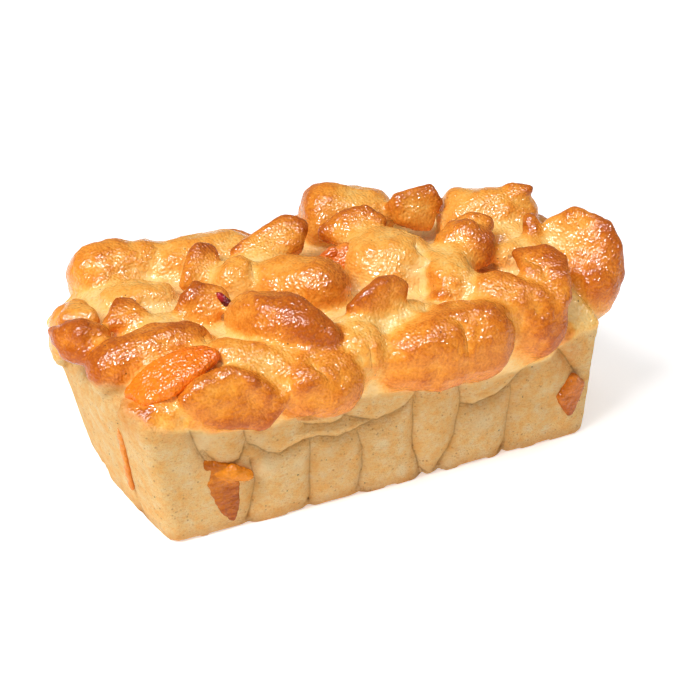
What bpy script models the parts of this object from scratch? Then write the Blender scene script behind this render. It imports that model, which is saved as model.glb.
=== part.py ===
"""Peach bread: a loaf of many dough pieces baked together in a tin, with peach in its seams.

Metres, +Z up. The origin is the centre of the flat base, X runs along the loaf, and -Y is the front.
"""
import math
import random

import bmesh
import bpy
import numpy as np
from mathutils import Euler, Matrix, Vector, noise

MM = 0.001

# The lower part of the loaf, which took the shape of a loaf tin
BASE_LENGTH = 210
BASE_WIDTH = 106
RIM_LENGTH = 229
RIM_WIDTH = 121
RIM_HEIGHT = 60
RIM_LEAN = -5
CROWN_HEIGHT = 19
CROWN_INSET = 20
CORNER_RADIUS = 7
BASE_EDGE_RADIUS = 2.5
BASE_TRIM = 1.5
LEFT_END_BULGE = 5
RIGHT_END_BULGE = 3
SIDE_BULGE = 2
BULGE_TOP = 66
BULGE_FADE = 12

# How finely the baked surface is made
SKIN_STEP = 2.3
SMOOTH_ROUNDS = 1
LOAF_TRIANGLES = 8800
UNEVEN_DEPTH = 0.7
UNEVEN_SPACING = 17
PIECE_SIDES = 28
PIECE_RINGS = 18
PIECE_LUMPS = 0.16
PIECE_LUMP_COUNT = 1.6
RIDGE_PINCH = 0.6
CORNER_DETAIL = 2
FILL_ROUNDS = 7
FILL_SHARE = 0.7

# Creases on the pale sides, where dough pieces met in the tin
CREASE_DEPTH = 1.6
CREASE_WIDTH = 1.9
PUFF_DEPTH = 1.5
PUFF_WIDTH = 7
CRUST_LINE = 52
CRUST_LINE_FADE = 8
STEEP = 0.6
PATCH_PITCH = 25

SHARP_ANGLE = math.radians(50)

# Clearance between the dough and each piece of fruit set in it
FRUIT_GAP = 0.35
FRUIT_SIDES = 16
FRUIT_RINGS = 10
FRUIT_SQUARENESS = 0.8

CRUST_COLOUR = (0.62, 0.27, 0.07, 1)
SIDE_COLOUR = (0.78, 0.53, 0.24, 1)
PEACH_COLOUR = (0.86, 0.25, 0.04, 1)
BROWNED_PEACH_COLOUR = (0.50, 0.15, 0.02, 1)
CHERRY_COLOUR = (0.20, 0.01, 0.01, 1)


def piece(start, end, width, height, blunt=(2.0, 2.0), taper=0.0, ridge=0.0, arch=0.0, roll=0):
    """One dough piece: the two tips of its long axis and its breadth, in mm.

    The bluntness of an end is under 2 for a point, 2 for a round end and over 2 for a boxy one. A ridge of 1
    draws the top up to a crest, the arch lifts the middle in mm, and the roll turns the piece in degrees.
    """
    return {
        "start": Vector(start),
        "end": Vector(end),
        "width": width,
        "height": height,
        "blunt": blunt,
        "taper": taper,
        "ridge": ridge,
        "arch": arch,
        "roll": math.radians(roll),
    }


# The lumps of the crust; each overlaps its neighbours
DOUGH_PIECES = {
    "far_left": piece((-107, 52, 76), (-70, 56, 79), 34, 32, (2.6, 2.6)),
    "left_edge": piece((-111, 46, 66), (-120, 12, 66), 22, 26),
    "left_pale": piece((-102, -6, 76), (-78, -12, 80), 20, 14),
    "left_middle": piece((-104, 30, 76), (-72, 14, 80), 24, 20, (2.4, 2.4)),
    "front_sausage": piece((-126, -19, 69), (-74, -31, 81), 24, 23, (3.0, 2.4), -0.1, 0.15, 2),
    "egg": piece((-62, -18, 85), (-28, -59, 82), 26, 25, (2.4, 1.7), 0.0, 0.3, 2, 8),
    "centre_left_a": piece((-57, 10, 83), (-34, 2, 88), 20, 22),
    "centre_left_b": piece((-40, 6, 84), (-6, -24, 85), 30, 27, (2.8, 2.6), 0.1, 0.2, 0, 12),
    "centre_left_back": piece((-52, 22, 79), (-18, 12, 83), 24, 22, (2.4, 2.4)),
    "back_left_low": piece((-76, 50, 79), (-19, 38, 83), 32, 27, (2.8, 2.8)),
    "back_flap": piece((5, 46, 92), (48, 34, 89), 30, 31, (3.6, 2.8), -0.1, 0.3, 0, -10),
    "centre_round": piece((4, 3, 83), (42, -13, 83), 40, 34, (2.6, 2.6)),
    "back_right": piece((66, 24, 87), (109, 2, 88), 34, 31, (2.8, 2.6), 0.0, 0.15),
    "back_right_tip": piece((86, 12, 95), (106, 3, 104), 13, 12, (2.0, 1.4), 0.0, 0.5),
    "right_middle": piece((72, 6, 82), (102, -14, 82), 26, 20, (2.4, 2.4)),
    "right_pale": piece((66, -24, 86), (100, -24, 84), 16, 14),
    "right_end": piece((103, -24, 72), (111, -53, 62), 24, 30, (2.8, 2.8)),
    "right_side": piece((108, 50, 48), (108, -51, 48), 20, 34, (4.0, 4.0)),
    "front_right": piece((42, -42, 83), (82, -61, 60), 30, 34, (2.2, 2.8), 0.0, 0.2),
    "front_middle": piece((-14, -58, 65), (54, -62, 70), 30, 36, (2.0, 2.8), 0.1, 0.1),
    "front_centre_strand": piece((-86, -38, 82), (-44, -60, 67), 20, 20, (2.0, 3.0), 0.0, 0.3),
    "front_centre": piece((-58, -58, 67), (-20, -61, 63), 28, 30, (3.0, 2.6), 0.0, 0.15),
    "centre_valley": piece((-20, -38, 80), (-15, -66, 66), 24, 24),
    "front_corner": piece((-122, -41, 64), (-96, -55, 64), 20, 12, (2.6, 2.6)),
    "centre_right_low": piece((44, -8, 86), (38, -46, 84), 24, 20),
    "caramel_low": piece((25, -42, 80), (50, -36, 84), 14, 14),
    "front_middle_back": piece((-12, -44, 77), (26, -48, 79), 20, 15),
    "back_edge_1": piece((-104, 58, 64), (-52, 60, 64), 28, 34, (2.2, 2.6), 0.0, 0.3, 0, 15),
    "back_edge_2": piece((-58, 60, 66), (-4, 57, 68), 27, 36, (2.4, 2.0), 0.0, 0.3, 0, -15),
    "back_edge_3": piece((-8, 58, 67), (44, 60, 70), 28, 38, (2.4, 2.6), 0.0, 0.2),
    "back_edge_4": piece((38, 56, 70), (84, 58, 68), 29, 36, (2.0, 2.4), 0.0, 0.4, 0, 15),
    "back_edge_5": piece((80, 56, 68), (113, 34, 66), 28, 36, (2.6, 2.2), 0.0, 0.3),
    "right_edge": piece((111, 34, 68), (114, -10, 68), 25, 34, (2.4, 2.4), 0.0, 0.3, 0, -15),
}

# Torn and folded pieces with corners: the place of each corner in mm, and how round it is
CORNER_PIECES = {
    "small_wedge": [
        (-103, 5, 90, 1.3), (-109, -1, 83, 3.5), (-103, -3, 81, 4), (-94, -1, 83, 3),
        (-98, 4, 85, 5), (-92, -7, 82, 2.5),
    ],
    "ear": [
        (-57, 25, 97, 3), (-51, 26, 94, 3.5), (-54, 21, 88, 4.5), (-66, 19, 86, 2.5),
        (-60, 21, 90, 5),
    ],
    "cherry_wedge": [
        (-71, -5, 95, 1.2), (-74, -7, 91, 3), (-78, -8, 84, 4), (-69, -14, 82, 4),
        (-61, -12, 86, 4), (-61, -9, 90, 3),
    ],
    "upper_left_ridge": [
        (-38, 24, 91, 3.5), (-31, 24, 93, 5), (-13, 26, 102, 2.5), (-7, 23, 98, 4),
        (-13, 19, 92, 6), (-28, 18, 89, 5),
    ],
    "back_upright": [
        (44, 23, 102, 3), (60, 21, 106, 2.2), (63, 18, 99, 2.8), (57, 17, 88, 3),
        (45, 20, 93, 4), (42, 25, 97, 3), (52, 26, 92, 6),
    ],
    "knob": [
        (52, -14, 94, 8), (59, -17, 98, 6), (65, -24, 95, 4), (63, -24, 88, 7),
        (54, -22, 88, 7),
    ],
    "knob_fold": [
        (64, -10, 100, 5), (69, -14, 98, 4.5), (53, -12, 99, 4), (62, -16, 96, 6),
    ],
    "centre_ridge": [
        (7, 21, 93, 5), (14, 19, 99, 4.5), (24, 17, 101, 4), (29, 13, 97, 4),
        (14, 14, 93, 7),
    ],
    "right_finger": [
        (92, -17, 97, 4), (92, -20, 93, 4.5), (90, -23, 89, 4),
    ],
    "far_right_flap": [
        (101, -20, 92, 5), (110, -27, 100, 4), (120, -37, 96, 4), (122, -43, 86, 4),
        (121, -46, 74, 4.5), (112, -50, 73, 4), (103, -30, 84, 5),
    ],
    "right_dark": [
        (72, -37, 92, 3), (83, -43, 93, 4), (87, -48, 90, 4), (84, -56, 86, 4.5),
        (83, -60, 78, 4), (78, -64, 75, 2.5), (72, -48, 88, 5),
    ],
    "left_point": [
        (-132, 8, 81, 1.5), (-129, 2, 80, 5), (-123, -4, 83, 6), (-116, -6, 80, 6),
        (-122, -9, 75, 6), (-127, -4, 75, 5),
    ],
    "left_small": [
        (-116, 20, 82, 5), (-124, 12, 82, 4), (-114, 8, 82, 5),
    ],
    "front_left_flap": [
        (-98, -58, 70, 4), (-92, -57, 74, 5), (-80, -58, 77, 5), (-72, -62, 75, 4),
        (-59, -66, 65, 3.5), (-66, -67, 58, 2.5), (-69, -64, 55, 3), (-83, -61, 62, 6),
        (-95, -58, 65, 5),
    ],
    "finger": [
        (-16, -45, 88, 2.5), (-10, -46, 92, 4), (-2, -45, 95, 4.5), (5, -44, 95, 4.5),
        (9, -45, 93, 3.5), (-8, -47, 84, 4), (5, -46, 85, 4),
    ],
}

# Creases on the front side, as places along X and up Z in mm
FRONT_CREASES = [
    [(-104, 68), (-96, 54), (-91, 40)],
    [(-74, 60), (-72, 40)],
    [(-75, 49), (-47, 44), (-35, 43), (-24, 47), (-22, 41), (-10, 35)],
    [(-74, 37), (-53, 32), (-34, 34), (-18, 35), (-2, 35), (11, 45)],
    [(-70, 34), (-66, 17), (-68, 0)],
    [(-40, 35), (-37, 0)],
    [(-15, 35), (-12, 0)],
    [(10, 43), (11, 22), (18, 0)],
    [(32, 44), (35, 33), (33, 20), (27, 2)],
    [(62, 35), (63, 20), (60, 0)],
    [(36, 33), (51, 32), (60, 35), (70, 46)],
    [(84, 52), (88, 45), (93, 37), (91, 0)],
]


def clear_scene():
    for old in list(bpy.data.objects):
        bpy.data.objects.remove(old, do_unlink=True)


def make_material(name, colour, roughness):
    material = bpy.data.materials.new(name)
    material.use_nodes = True
    shader = material.node_tree.nodes["Principled BSDF"]
    shader.inputs["Base Color"].default_value = colour
    shader.inputs["Roughness"].default_value = roughness
    shader.inputs["Metallic"].default_value = 0.0
    material.diffuse_color = colour
    return material


def add_object(name, bm, materials):
    mesh = bpy.data.meshes.new(name)
    bm.to_mesh(mesh)
    bm.free()
    for material in materials:
        mesh.materials.append(material)
    obj = bpy.data.objects.new(name, mesh)
    bpy.context.scene.collection.objects.link(obj)
    return obj


def bake_modifiers(obj):
    """Replace the object's mesh by what its modifiers make of it."""
    graph = bpy.context.evaluated_depsgraph_get()
    baked = bpy.data.meshes.new_from_object(obj.evaluated_get(graph))
    spare = obj.data
    obj.modifiers.clear()
    obj.data = baked
    bpy.data.meshes.remove(spare)


def add_tin_body(bm):
    """The tapered block under the crust, with rounded upright corners and a low crown."""
    made = bmesh.ops.create_cube(bm, size=1)
    verts = made["verts"]
    for vert in verts:
        top = vert.co.z > 0
        length = RIM_LENGTH if top else BASE_LENGTH
        width = RIM_WIDTH if top else BASE_WIDTH
        vert.co.x = vert.co.x * length + (RIM_LEAN if top else 0)
        vert.co.y = vert.co.y * width
        vert.co.z = RIM_HEIGHT if top else -BASE_TRIM
    faces = {face for vert in verts for face in vert.link_faces}
    crown = max(faces, key=lambda face: face.calc_center_median().z)
    bmesh.ops.inset_region(bm, faces=[crown], thickness=CROWN_INSET)
    bmesh.ops.translate(bm, verts=crown.verts, vec=(0, 0, CROWN_HEIGHT))
    upright = [edge for edge in bm.edges if abs(edge.verts[0].co.z - edge.verts[1].co.z) > RIM_HEIGHT]
    bmesh.ops.bevel(bm, geom=upright, offset=CORNER_RADIUS, segments=6, profile=0.5, affect="EDGES")
    low = -BASE_TRIM + 0.01
    bottom = [edge for edge in bm.edges if edge.verts[0].co.z < low and edge.verts[1].co.z < low]
    bmesh.ops.bevel(bm, geom=bottom, offset=BASE_EDGE_RADIUS, segments=3, profile=0.5, affect="EDGES")


def add_dough_piece(bm, shape, number):
    """A blunt, slightly lumpy spindle along its axis, round in section or drawn up to a crest."""
    made = bmesh.ops.create_uvsphere(bm, u_segments=PIECE_SIDES, v_segments=PIECE_RINGS, radius=1)
    axis = shape["end"] - shape["start"]
    along = axis.normalized()
    side = Vector((0, 0, 1)).cross(along).normalized()
    up = along.cross(side)
    middle = (shape["start"] + shape["end"]) / 2
    own_patch = Vector((number * 7.3, number * 3.1, 0))
    for vert in made["verts"]:
        u = max(-1.0, min(1.0, vert.co.z))
        blunt = shape["blunt"][0 if u < 0 else 1]
        angle = math.atan2(vert.co.y, vert.co.x)
        lump = 1 + PIECE_LUMPS * noise.noise(vert.co * PIECE_LUMP_COUNT + own_patch)
        radius = lump * (1 - abs(u) ** blunt) ** (1 / blunt) * (1 + shape["taper"] * u)
        pinch = 1 - RIDGE_PINCH * shape["ridge"] * max(0.0, math.sin(angle)) ** 2
        across = shape["width"] / 2 * radius * math.cos(angle) * pinch
        rise = shape["height"] / 2 * radius * math.sin(angle) + shape["arch"] * (1 - u * u)
        section = Matrix.Rotation(shape["roll"], 2) @ Vector((across, rise))
        vert.co = middle + axis * (u / 2) + side * section.x + up * section.y


def add_corner_piece(bm, corners):
    """The tight skin over a ball at each corner: a piece with flat sides and rounded edges."""
    wedge = bmesh.new()
    for x, y, z, radius in corners:
        place = Matrix.Translation((x, y, z))
        bmesh.ops.create_icosphere(wedge, subdivisions=CORNER_DETAIL, radius=radius, matrix=place)
    hull = bmesh.ops.convex_hull(wedge, input=wedge.verts[:])
    skin = {part for part in hull["geom"] if isinstance(part, bmesh.types.BMFace)}
    bmesh.ops.delete(wedge, geom=[face for face in wedge.faces if face not in skin], context="FACES")
    bmesh.ops.delete(wedge, geom=[vert for vert in wedge.verts if not vert.link_faces], context="VERTS")
    bmesh.ops.recalc_face_normals(wedge, faces=wedge.faces[:])
    mesh = bpy.data.meshes.new("corner_piece")
    wedge.to_mesh(mesh)
    wedge.free()
    bm.from_mesh(mesh)
    bpy.data.meshes.remove(mesh)


def keep_outer_skin(obj):
    """Delete every closed shell but the largest, so that no pocket of air is left inside."""
    bm = bmesh.new()
    bm.from_mesh(obj.data)
    unseen = set(bm.verts)
    shells = []
    while unseen:
        front = [unseen.pop()]
        shell = list(front)
        while front:
            vert = front.pop()
            for edge in vert.link_edges:
                other = edge.other_vert(vert)
                if other in unseen:
                    unseen.remove(other)
                    shell.append(other)
                    front.append(other)
        shells.append(shell)
    outer = max(shells, key=len)
    inner = [vert for shell in shells if shell is not outer for vert in shell]
    bmesh.ops.delete(bm, geom=inner, context="VERTS")
    bm.to_mesh(obj.data)
    bm.free()


def fill_valleys(mesh):
    """Round out the valleys between the lumps, as risen dough does, and leave the crests alone."""
    count = len(mesh.vertices)
    ends = np.empty(len(mesh.edges) * 2, dtype=np.int32)
    mesh.edges.foreach_get("vertices", ends)
    first, second = ends.reshape(-1, 2).T
    links = np.bincount(ends, minlength=count)
    co = np.empty(count * 3)
    normal = np.empty(count * 3)
    for step in range(FILL_ROUNDS):
        mesh.vertices.foreach_get("co", co)
        mesh.vertex_normals.foreach_get("vector", normal)
        place = co.reshape(-1, 3)
        around = np.zeros_like(place)
        for column in range(3):
            around[:, column] = np.bincount(first, place[second, column], count)
            around[:, column] += np.bincount(second, place[first, column], count)
        move = (around / links[:, None] - place) * FILL_SHARE
        rising = (move * normal.reshape(-1, 3)).sum(axis=1) > 0
        place += move * rising[:, None]
        mesh.vertices.foreach_set("co", place.ravel())
        mesh.update()


def wall_place(co):
    """The wall a point belongs to, and its place along that wall; None on the crust and the base."""
    half_length = BASE_LENGTH / 2 + (RIM_LENGTH - BASE_LENGTH) / 2 * co.z / RIM_HEIGHT
    half_width = BASE_WIDTH / 2 + (RIM_WIDTH - BASE_WIDTH) / 2 * co.z / RIM_HEIGHT
    lean = RIM_LEAN * co.z / RIM_HEIGHT
    depths = {
        "front": half_width + co.y,
        "back": half_width - co.y,
        "left": half_length + co.x - lean,
        "right": half_length - co.x + lean,
    }
    wall = min(depths, key=depths.get)
    return wall, co.x if wall in ("front", "back") else co.y


def made_up_creases(half_length, seed, with_cross=True):
    """Upright creases about a pitch apart and perhaps a wavy one across, for a side like the front one."""
    draw = random.Random(seed)
    count = max(2, round(2 * half_length / PATCH_PITCH))
    creases = []
    for step in range(1, count):
        place = -half_length + 2 * half_length * step / count + draw.uniform(-4, 4)
        lean = draw.uniform(-3, 3)
        creases.append([(place, draw.uniform(34, 48)), (place + lean, 18), (place + lean * 0.4, 0)])
    if with_cross:
        runs = 6
        across = []
        for step in range(runs + 1):
            across.append((-half_length + 2 * half_length * step / runs, draw.uniform(32, 44)))
        creases.append(across)
    return creases


def distance_to_route(place, route):
    """Shortest distance from a point to a line of straight runs, all in the plane of a wall."""
    nearest = 1e9
    spot = Vector(place)
    for first, second in zip(route, route[1:]):
        a = Vector(first)
        run = Vector(second) - a
        share = max(0.0, min(1.0, (spot - a).dot(run) / run.length_squared))
        nearest = min(nearest, (spot - a - run * share).length)
    return nearest


def shape_skin(mesh):
    """Bow the ends, press the creases into the sides and make the whole surface slightly uneven."""
    creases = {
        "front": FRONT_CREASES,
        "back": made_up_creases(BASE_LENGTH / 2, 3),
        "left": made_up_creases(BASE_WIDTH / 2, 5, False),
        "right": made_up_creases(BASE_WIDTH / 2, 8, False),
    }
    normals = [vert.normal.copy() for vert in mesh.vertices]
    for vert, normal in zip(mesh.vertices, normals):
        co = vert.co.copy()
        wall, place = wall_place(co)
        sag = noise.noise(co / UNEVEN_SPACING) * UNEVEN_DEPTH
        if co.z < CRUST_LINE and abs(normal.z) < STEEP:
            distance = min(distance_to_route((place, co.z), route) for route in creases[wall])
            fade = max(0.0, min(1.0, (CRUST_LINE - co.z) / CRUST_LINE_FADE))
            crease = CREASE_DEPTH * math.exp(-((distance / CREASE_WIDTH) ** 2))
            puff = PUFF_DEPTH * math.exp(-distance / PUFF_WIDTH)
            sag -= (crease + puff) * fade
        vert.co = co + normal * sag
        fade = max(0.0, min(1.0, (BULGE_TOP - co.z) / BULGE_FADE))
        lengthwise = abs(co.x) / (BASE_LENGTH / 2)
        crosswise = abs(co.y) / (BASE_WIDTH / 2)
        bow = fade * max(0.0, 1 - crosswise ** 2) * min(1.0, lengthwise) ** 6
        swell = fade * max(0.0, 1 - lengthwise ** 2) * min(1.0, crosswise) ** 4
        vert.co.x += (RIGHT_END_BULGE if co.x > 0 else -LEFT_END_BULGE) * bow
        vert.co.y += math.copysign(SIDE_BULGE, co.y) * swell


def flatten_base(obj):
    """Trim the loaf at its resting plane, so that it stands on one true flat face."""
    bm = bmesh.new()
    bm.from_mesh(obj.data)
    geometry = bm.verts[:] + bm.edges[:] + bm.faces[:]
    bmesh.ops.bisect_plane(bm, geom=geometry, dist=1e-6, plane_co=(0, 0, 0), plane_no=(0, 0, 1),
                           clear_inner=True)
    rim = [edge for edge in bm.edges if edge.is_boundary]
    bmesh.ops.contextual_create(bm, geom=rim)
    bmesh.ops.triangulate(bm, faces=[face for face in bm.faces if len(face.verts) > 3])
    bmesh.ops.recalc_face_normals(bm, faces=bm.faces)
    bm.to_mesh(obj.data)
    bm.free()


def colour_faces(obj):
    """Slot 0 is the browned crust, slot 1 the pale sides and base."""
    for face in obj.data.polygons:
        pale = face.center.z < CRUST_LINE * MM and face.normal.z < 0.5
        face.material_index = 1 if pale else 0
    obj.data.shade_smooth()
    obj.data.set_sharp_from_angle(angle=SHARP_ANGLE)


def make_loaf():
    bm = bmesh.new()
    add_tin_body(bm)
    for number, shape in enumerate(DOUGH_PIECES.values()):
        add_dough_piece(bm, shape, number)
    for corners in CORNER_PIECES.values():
        add_corner_piece(bm, corners)
    loaf = add_object("loaf", bm, [])
    remesh = loaf.modifiers.new("one_skin", "REMESH")
    remesh.mode = "VOXEL"
    remesh.voxel_size = SKIN_STEP
    smooth = loaf.modifiers.new("risen", "SMOOTH")
    smooth.factor = 0.5
    smooth.iterations = SMOOTH_ROUNDS
    bake_modifiers(loaf)
    keep_outer_skin(loaf)
    fill_valleys(loaf.data)
    shape_skin(loaf.data)
    triangles = sum(len(face.vertices) - 2 for face in loaf.data.polygons)
    decimate = loaf.modifiers.new("fewer_faces", "DECIMATE")
    decimate.ratio = LOAF_TRIANGLES / triangles
    bake_modifiers(loaf)
    loaf.data.transform(Matrix.Scale(MM, 4))
    flatten_base(loaf)
    return loaf


def add_fruit_shape(bm, size, bend, grow):
    """A cushion-shaped piece of fruit, bent along its length, or the same shape grown by a clearance."""
    made = bmesh.ops.create_uvsphere(bm, u_segments=FRUIT_SIDES, v_segments=FRUIT_RINGS, radius=1)
    bmesh.ops.rotate(bm, verts=made["verts"], cent=(0, 0, 0), matrix=Matrix.Rotation(math.pi / 2, 3, "Y"))
    for vert in made["verts"]:
        full = [math.copysign(abs(value) ** FRUIT_SQUARENESS, value) for value in vert.co]
        place = Vector((full[0] * (size[0] / 2 + grow), full[1] * (size[1] / 2 + grow),
                        full[2] * (size[2] / 2 + grow)))
        place.y += bend * (1 - full[0] ** 2)
        vert.co = place * MM


# Each piece of fruit: its middle and its size in mm, its turn in degrees and how far it bends
FRUIT = {
    "peach_slice_top": ((-97, -47, 77.5), (46, 19, 9), (38, -20, -3), 1),
    "peach_chunk_front": ((-80.5, -52, 20.5), (23, 12, 37), (7, 10, 0), 0),
    "peach_chunk_right": ((93, -52.5, 24), (13, 10, 23), (7, -8, 0), 0),
    "peach_strip_left": ((-113.5, -26, 31), (8, 3.5, 40), (9, -13.5, 0), 0),
    "peach_piece_back": ((5, 3, 88), (20, 11, 10), (0, -12, -15), 0),
    "cherry_bit": ((-61, -15, 87.5), (7, 6, 9), (0, 20, 0), 0),
}


def make_fruit(name, material, cutters):
    middle, size, turn, bend = FRUIT[name]
    rotation = Euler([math.radians(value) for value in turn])
    for grow in (0.0, FRUIT_GAP):
        bm = bmesh.new()
        add_fruit_shape(bm, size, bend, grow)
        obj = add_object(name if grow == 0 else "pocket_" + name, bm, [material])
        obj.location = Vector(middle) * MM
        obj.rotation_euler = rotation
        obj.data.shade_smooth()
        if grow:
            obj.hide_render = True
            obj.display_type = "WIRE"
            bpy.context.scene.collection.objects.unlink(obj)
            cutters.objects.link(obj)


def cut_pockets(loaf, cutters):
    """Cut a pocket for each piece of fruit, then take the cutters away."""
    pockets = loaf.modifiers.new("fruit_pockets", "BOOLEAN")
    pockets.operation = "DIFFERENCE"
    pockets.operand_type = "COLLECTION"
    pockets.collection = cutters
    pockets.solver = "EXACT"
    bake_modifiers(loaf)
    for cutter in list(cutters.objects):
        bpy.data.objects.remove(cutter, do_unlink=True)
    bpy.data.collections.remove(cutters)


def build():
    clear_scene()
    crust = make_material("baked_crust", CRUST_COLOUR, 0.35)
    side = make_material("pale_side", SIDE_COLOUR, 0.75)
    peach = make_material("peach_flesh", PEACH_COLOUR, 0.2)
    browned = make_material("browned_peach", BROWNED_PEACH_COLOUR, 0.3)
    cherry = make_material("cherry", CHERRY_COLOUR, 0.25)
    finishes = {
        "peach_slice_top": peach,
        "peach_chunk_front": browned,
        "peach_chunk_right": browned,
        "peach_strip_left": browned,
        "peach_piece_back": peach,
        "cherry_bit": cherry,
    }
    cutters = bpy.data.collections.new("fruit_cutters")
    bpy.context.scene.collection.children.link(cutters)
    loaf = make_loaf()
    for name, material in finishes.items():
        make_fruit(name, material, cutters)
    cut_pockets(loaf, cutters)
    loaf.data.materials.clear()
    for material in (crust, side):
        loaf.data.materials.append(material)
    colour_faces(loaf)


build()
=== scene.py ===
import itertools
import math
import random

import bmesh
import bpy
import numpy as np
from mathutils import Matrix, Vector, noise


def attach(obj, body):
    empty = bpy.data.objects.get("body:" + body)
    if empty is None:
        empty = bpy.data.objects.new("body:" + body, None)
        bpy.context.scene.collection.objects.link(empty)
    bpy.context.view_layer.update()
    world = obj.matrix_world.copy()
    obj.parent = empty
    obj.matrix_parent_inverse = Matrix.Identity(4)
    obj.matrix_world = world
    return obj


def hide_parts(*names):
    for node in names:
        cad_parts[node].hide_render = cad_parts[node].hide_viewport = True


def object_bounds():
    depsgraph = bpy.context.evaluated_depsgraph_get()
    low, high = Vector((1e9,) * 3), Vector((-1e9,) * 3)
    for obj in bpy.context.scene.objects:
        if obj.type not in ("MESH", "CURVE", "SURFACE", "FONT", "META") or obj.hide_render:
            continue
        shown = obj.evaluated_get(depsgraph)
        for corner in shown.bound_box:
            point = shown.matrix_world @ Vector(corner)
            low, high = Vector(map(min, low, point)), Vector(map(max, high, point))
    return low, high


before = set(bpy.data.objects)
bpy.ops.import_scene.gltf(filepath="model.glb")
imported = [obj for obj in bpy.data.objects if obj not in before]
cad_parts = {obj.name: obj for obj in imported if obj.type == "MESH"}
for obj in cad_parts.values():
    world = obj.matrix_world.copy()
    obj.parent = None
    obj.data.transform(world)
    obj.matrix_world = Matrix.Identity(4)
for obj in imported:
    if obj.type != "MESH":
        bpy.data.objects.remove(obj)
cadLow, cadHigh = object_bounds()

# Lengths are in mm until a mesh is finished, then in metres
mm = 0.001
farAway = 1e9
tiny = 1e-6

tin = {
    "baseLength": 210, "baseWidth": 106, "rimLength": 225, "rimWidth": 121,
    "rimHeight": 60, "rimLean": -7, "crownHeight": 19, "crownInset": 20,
    "corner": 5, "baseEdge": 2, "cornerSteps": 8, "baseEdgeSteps": 4, "slack": 1,
}


def addTinBody(bm):
    verts = bmesh.ops.create_cube(bm, size=1)["verts"]
    for vert in verts:
        top = vert.co.z > 0
        vert.co.x = vert.co.x * tin["rimLength" if top else "baseLength"] + (tin["rimLean"] if top else 0)
        vert.co.y = vert.co.y * tin["rimWidth" if top else "baseWidth"]
        vert.co.z = tin["rimHeight"] if top else 0
    faces = {face for vert in verts for face in vert.link_faces}
    crown = max(faces, key=lambda face: face.calc_center_median().z)
    bmesh.ops.inset_region(bm, faces=[crown], thickness=tin["crownInset"])
    bmesh.ops.translate(bm, verts=crown.verts, vec=(0, 0, tin["crownHeight"]))
    rises = {edge: abs(edge.verts[0].co.z - edge.verts[1].co.z) for edge in bm.edges}
    upright = [edge for edge in bm.edges if rises[edge] > tin["rimHeight"] - tin["slack"]]
    bmesh.ops.bevel(bm, geom=upright, offset=tin["corner"], segments=tin["cornerSteps"], profile=0.5,
                    affect="EDGES", material=-1)
    bottom = [edge for edge in bm.edges if max(edge.verts[0].co.z, edge.verts[1].co.z) < tin["slack"]]
    bmesh.ops.bevel(bm, geom=bottom, offset=tin["baseEdge"], segments=tin["baseEdgeSteps"], profile=0.5,
                    affect="EDGES", material=-1)


# One lump of dough between two tips: blunt is for each end, taper swells the far end, ridge pinches the
# top, arch lifts the middle and roll turns it in degrees. toast is how brown the start, the middle and the
# end are, and crest is added on top and taken off underneath
def dough(start, end, width, height, blunt=(2.0, 2.0), taper=0.0, ridge=0.0, arch=0.0, roll=0,
          toast=(0.4, 0.4, 0.4), crest=0.1):
    along = (Vector(end) - Vector(start)).normalized()
    side = Vector((0, 0, 1)).cross(along).normalized()
    up = along.cross(side)
    angle = math.radians(roll)
    return {
        "middle": (Vector(start) + Vector(end)) / 2, "half": (Vector(end) - Vector(start)).length / 2,
        "along": along, "side": side * math.cos(angle) + up * math.sin(angle),
        "up": up * math.cos(angle) - side * math.sin(angle), "width": width, "height": height,
        "blunt": blunt, "taper": taper, "ridge": ridge, "arch": arch, "toast": toast, "crest": crest,
    }


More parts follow.
